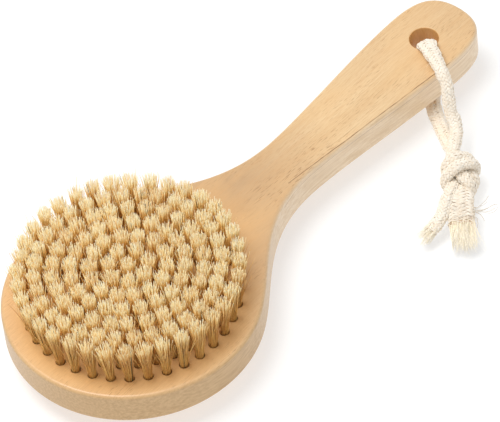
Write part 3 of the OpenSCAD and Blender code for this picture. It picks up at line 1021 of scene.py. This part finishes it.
def fray(name, end, way, clumps, fibres, length, splay, seed, uneven, shun):
    """Untwisted yarn ends: clumps of fibres that start inside the braid's end and spread
    beyond it. way is 1 or -1 along the cord. On the side of the point shun they stay
    within the braid's own edge, clear of the other tail."""
    rng = np.random.default_rng(seed)
    i = index_at(end)
    centre, a, b, t = LINE[i], unit(WIDE[i]), unit(THIN[i]), TANGENT[i] * way
    half_w, half_t = HALF_W[i] - 0.4, HALF_T[i] - 0.4
    rooted = 3.4                      # length of a clump inside the braid
    u = np.linspace(0, 1, len(FIBRE_TAPER))
    paths, radii, tones = [], [], []
    for k in range(clumps):
        rho, phi = math.sqrt((k + 0.5) / clumps), k * GOLDEN_ANGLE + 0.4
        qa, qb = rho * math.cos(phi), rho * math.sin(phi)
        root = centre + a * half_w * 0.98 * qa + b * half_t * 1.02 * qb - t * rooted
        reach = (length * (1 + rng.normal(0, uneven)) + rooted) * (1.0 - 0.20 * abs(qa))
        heading = unit(t + a * splay * (qa + rng.normal(0, 0.16))
                       + b * splay * 0.5 * (qb + rng.normal(0, 0.2)))
        bow = (a * rng.normal(0, 0.6) + b * rng.normal(0, 0.45)) * length / 8
        wave = a * rng.normal(0, 0.32) + b * rng.normal(0, 0.2)
        waviness = rng.uniform(4, 8)
        middle = (root + heading * (reach * u)[:, None] + bow * (u ** 2)[:, None]
                  + wave * np.sin(u * waviness + rng.uniform(0, 6))[:, None] * u[:, None])
        for _ in range(fibres):
            r0, p0 = math.sqrt(rng.random()), rng.uniform(0, 6.28)
            spread = 0.34 + (0.55 + 0.5 * rng.random()) * u ** 1.5 * length / 8
            turn = p0 + rng.normal(1.5, 0.8) * u
            off = (a * (np.cos(turn) * spread * r0)[:, None]
                   + b * (np.sin(turn) * spread * r0)[:, None])
            own = (a * rng.normal(0, 0.55) + b * rng.normal(0, 0.35)
                   + t * rng.normal(0, 0.7)) * length / 8
            if rng.random() < 0.12:
                own = own * 2.6       # a stray fibre
            paths.append(middle + off + own * (u ** 2.2)[:, None])
            radii.append(rng.uniform(0.045, 0.075) * FIBRE_TAPER)
            tones.append(rng.random())
    paths, radii = np.array(paths), np.array(radii)
    # soft limit on the side of the other tail, closing in with distance
    inward = a * np.sign(np.dot(a, shun - centre))
    x, y = (paths - centre) @ inward, np.maximum((paths - centre) @ t, 0.0)
    soft = 1.2
    limit = half_w - soft - 0.1 * y
    held = np.where(x > limit, limit + soft * np.tanh((x - limit) / soft), x)
    paths = paths + inward * (held - x)[..., None]
    verts, polys = strands(paths, radii)
    # normals turned mostly upwards, so that the fibres catch the light evenly
    normals = unit(strand_normals(verts, paths, radii, lean=0.0)
                   + 0.8 * unit(np.array([-0.2, 0.1, 0.97])))
    return new_mesh(name, verts, polys, FIBRE,
                    attrs={"along": np.tile(np.repeat(u, 3), len(paths)),
                           "rnd": np.repeat(tones, len(u) * 3)}, vertex_normals=normals)


def cotton_material():
    m = NodeMaterial("braided_cotton")
    twist, rnd, under = m.attr("twist"), m.attr("rnd"), m.attr("under")
    one_turn = 6.2832
    ridge = m.math("SINE", m.multiply(twist, one_turn))
    fibre = m.noise(scale=(7.0, 7.0, 7.0), detail=3.0, roughness=0.65)
    soft = m.noise(scale=(0.35, 0.35, 0.35), offset=(2, 3, 1))
    color = m.mix(m.levels(soft, start=0.3, end=0.7), srgb(255, 250, 240), srgb(252, 242, 226))
    color = m.tint(color, srgb(238, 218, 190), mask=rnd, amount=0.50)
    color = m.tint(color, srgb(234, 216, 190), mask=m.levels(fibre, start=0.45, end=0.8),
                   amount=0.20)
    # painted shade: darker where a yarn dips under the others
    color = m.mix(m.levels(under, start=0.35, end=0.8, high=0.9), color, srgb(208, 172, 136))
    height = m.math("ADD", m.multiply(ridge, 0.5), fibre)
    return m.finish(Base_Color=color, Roughness=m.scaled(fibre, by=0.15, plus=0.8),
                    Sheen_Weight=0.2, Sheen_Roughness=0.5,
                    Normal=m.bump(height, distance_mm=0.06, strength=0.5))


def fibre_material():
    m = NodeMaterial("frayed_cotton")
    along, rnd = m.attr("along"), m.attr("rnd")
    patch = m.noise(scale=(2.0, 2.0, 2.0), roughness=0.6)
    color = m.ramp(along, [(0.0, srgb(254, 245, 228)), (0.45, srgb(253, 243, 222)),
                           (1.0, srgb(255, 249, 235))])
    color = m.tint(color, srgb(255, 240, 204), mask=m.levels(rnd, start=0.5, end=1.0),
                   amount=0.5)
    color = m.tint(color, srgb(253, 238, 206), mask=m.levels(patch, start=0.45, end=0.8),
                   amount=0.3)
    # painted light: the fibres glow a little through their emission, which lifts the shade
    # between them
    return m.finish(Base_Color=color, Roughness=m.scaled(patch, by=0.2, plus=0.8),
                    Specular_IOR_Level=0.1, Emission_Color=color, Emission_Strength=0.16)


# ---------------------------------------------------------------- pieces of the cord
COTTON = cotton_material()
FIBRE = fibre_material()
LOWER_CUT = AT_LOWER_LEG - 9.0      # where the legs' piece ends inside the knot
UPPER_CUT = AT_UPPER_LEG + 9.0
SHORT_ROOT = AT_SHORT_TAIL + 4.0    # where the tails' pieces start inside the knot
MAIN_ROOT = AT_MAIN_TAIL - 4.0
MAIN_FRAY = CORD_END - 7.5          # where the tails' fibres start
SHORT_FRAY = 3.6
OVERLAP = 0.6                       # neighbouring pieces run into each other


def blend_at(ob):
    """Bakes the object's placement into its mesh."""
    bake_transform(ob)


def build_loop():
    loop = braid("cord_loop_braid", LOWER_CUT - OVERLAP, UPPER_CUT + OVERLAP, hairs=420)
    blend_at(loop)
    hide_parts("cord_loop")


def build_knot():
    lower = braid("cord_knot_braid_lower", SHORT_ROOT - OVERLAP, LOWER_CUT, hairs=90)
    upper = braid("cord_knot_braid_upper", UPPER_CUT, MAIN_ROOT + OVERLAP, hairs=140)
    for ob in (upper, lower):
        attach(ob, "knot")
    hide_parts("cord_knot")


def build_tail(piece, part, span, hairs, fibres, loosen=0.0):
    """A tail's braid and the fibres at its end."""
    tail = braid(piece + "_braid", *span, hairs, loosen)
    blend_at(tail)
    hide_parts(piece)
    tuft = fray(piece + "_fibres", **fibres)
    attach(tuft, part)


build_loop()
build_knot()
build_tail("cord_tail_frayed", "frayed_tail", (MAIN_ROOT, MAIN_FRAY),
           hairs=160, loosen=0.7,
           fibres=dict(end=MAIN_FRAY, way=1, clumps=60, fibres=11, length=10.0, splay=0.09,
                       seed=31, uneven=0.17, shun=LINE[index_at(SHORT_FRAY)]))
build_tail("cord_tail_short", "short_tail", (3.2, SHORT_ROOT), hairs=90,
           fibres=dict(end=SHORT_FRAY, way=-1, clumps=34, fibres=9, length=4.6, splay=0.18,
                       seed=32, uneven=0.4, shun=LINE[index_at(MAIN_FRAY)]))


# ---------------------------------------------------------------- loose threads
# fine threads pulled out of the braid beside the frayed tail: x, y, z
THREADS = [[(116.6, -58.9, -1.5), (116.5, -61.3, -1.2), (118.7, -61.6, -0.9),
            (121.3, -61.8, -0.6), (122.6, -61.5, -0.3)],
           [(115.1, -60.1, -1.5), (116.1, -61.7, -1.2), (117.1, -63.5, -0.9),
            (118.8, -64.5, -0.6), (121.1, -64.9, -0.3), (122.4, -66.0, 0.0),
            (123.3, -66.9, 0.3)],
           [(114.2, -60.5, -1.5), (115.5, -62.5, -1.2), (117.2, -64.6, -0.9),
            (117.5, -66.3, -0.6), (118.6, -67.3, -0.3), (120.1, -67.6, 0.0),
            (121.8, -66.7, 0.3)],
           [(114.3, -59.9, -1.5), (115.2, -62.4, -1.2), (115.0, -64.2, -0.9),
            (114.3, -66.2, -0.6), (113.1, -67.7, -0.3)],
           [(113.1, -61.4, -1.5), (113.2, -64.3, -1.2), (112.0, -66.3, -0.9),
            (110.2, -68.3, -0.6)]]


def thread_material():
    m = NodeMaterial("loose_thread")
    patch = m.noise(scale=(1.5, 1.5, 1.5), roughness=0.6)
    return m.finish(Base_Color=m.mix(patch, srgb(232, 222, 206), srgb(196, 182, 162)),
                    Roughness=m.scaled(patch, by=0.2, plus=0.7))


def build_threads(material):
    """Each thread is one full strand and two thinner, shorter ones."""
    rng = np.random.default_rng(77)
    verts, polys, count = [], [], 0
    for line in THREADS:
        for k in range(3):
            path = smooth_line(np.array(line), 0.25, 0.7)
            u = np.linspace(0, 1, len(path))[:, None]
            path = (path + u * rng.normal(0, 0.35, 3)
                    + 0.12 * np.sin(u * rng.uniform(9, 17) + rng.uniform(0, 6, 3)))
            path = resample(path, 0.4)
            if k:
                path = path[:int(len(path) * rng.uniform(0.45, 0.9))]
            radii = np.full((1, len(path)), 0.095 if k == 0 else 0.06)
            strand_verts, strand_polys = strands(path[None], radii, sides=4)
            verts.append(strand_verts)
            polys += [p + count for p in strand_polys]
            count += len(strand_verts)
    threads = new_mesh("cord_tail_threads", np.concatenate(verts), polys, material)
    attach(threads, "frayed_tail")


build_threads(thread_material())


# ---------------------------------------------------------------- stage, light and camera
def stage_material():
    m = NodeMaterial("pale_floor")
    cloud = m.noise(scale=(0.01, 0.01, 0.01))
    return m.finish(Base_Color=m.mix(cloud, srgb(182, 182, 182), srgb(186, 186, 185)),
                    Roughness=0.9, Emission_Color=(1.0, 1.0, 1.0), Emission_Strength=0.55)


def build_floor():
    """A large square just below the lowest point."""
    z = min(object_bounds()[0][2] * MM_PER_M, 0.0) - 0.02
    half = 4000.0
    corners = [(-half, -half, z), (half, -half, z), (half, half, z), (-half, half, z)]
    new_mesh("floor", corners, [np.array([[0, 1, 2, 3]])], stage_material(),
                      smooth=False)


def build_world(color, strength):
    world = bpy.data.worlds.new("studio")
    bpy.context.scene.world = world
    world.use_nodes = True
    background = world.node_tree.nodes["Background"]
    background.inputs["Color"].default_value = (*color, 1)
    background.inputs["Strength"].default_value = strength


def build_camera(position, right, up, lens):
    """position in mm; right and up are the picture's directions in space."""
    data = bpy.data.cameras.new("camera")
    camera = bpy.data.objects.new("camera", data)
    bpy.context.scene.collection.objects.link(camera)
    data.sensor_fit = "HORIZONTAL"
    data.sensor_width = 36.0
    data.lens = lens
    data.clip_start, data.clip_end = 0.1, 20.0
    rotation = Matrix((right, up, np.cross(right, up))).transposed().to_4x4()
    camera.matrix_world = Matrix.Translation(Vector(position / MM_PER_M)) @ rotation
    bpy.context.scene.camera = camera


def build_key_light(target, offset, size, power):
    """A round area light aimed at the target. Lengths in mm, power in watts."""
    light = bpy.data.lights.new("key", "AREA")
    light.shape = "DISK"
    light.size = size / MM_PER_M
    light.energy = power
    ob = bpy.data.objects.new("key", light)
    ob.location = (target + offset) / MM_PER_M
    aim = Vector(target / MM_PER_M) - ob.location
    ob.rotation_euler = aim.to_track_quat("-Z", "Y").to_euler()
    bpy.context.scene.collection.objects.link(ob)


build_floor()
build_world(color=(1.0, 1.0, 1.0), strength=0.58)
build_camera(
    position=np.array([-750.4382466623257, -898.9223691472484, 1386.1543972087227]),
    right=np.array([0.6735428019978247, -0.7345701855568527, -0.082138519391878]),
    up=np.array([0.5927191848046791, 0.47037141347200895, 0.6537845049005713]),
    lens=363.09918888)
build_key_light(target=np.array([60.0, -10.0, 10.0]), offset=np.array([-260, 300, 1500]),
                size=900, power=16.5)
bpy.context.scene.view_settings.view_transform = "Standard"
bpy.context.scene.view_settings.look = "None"
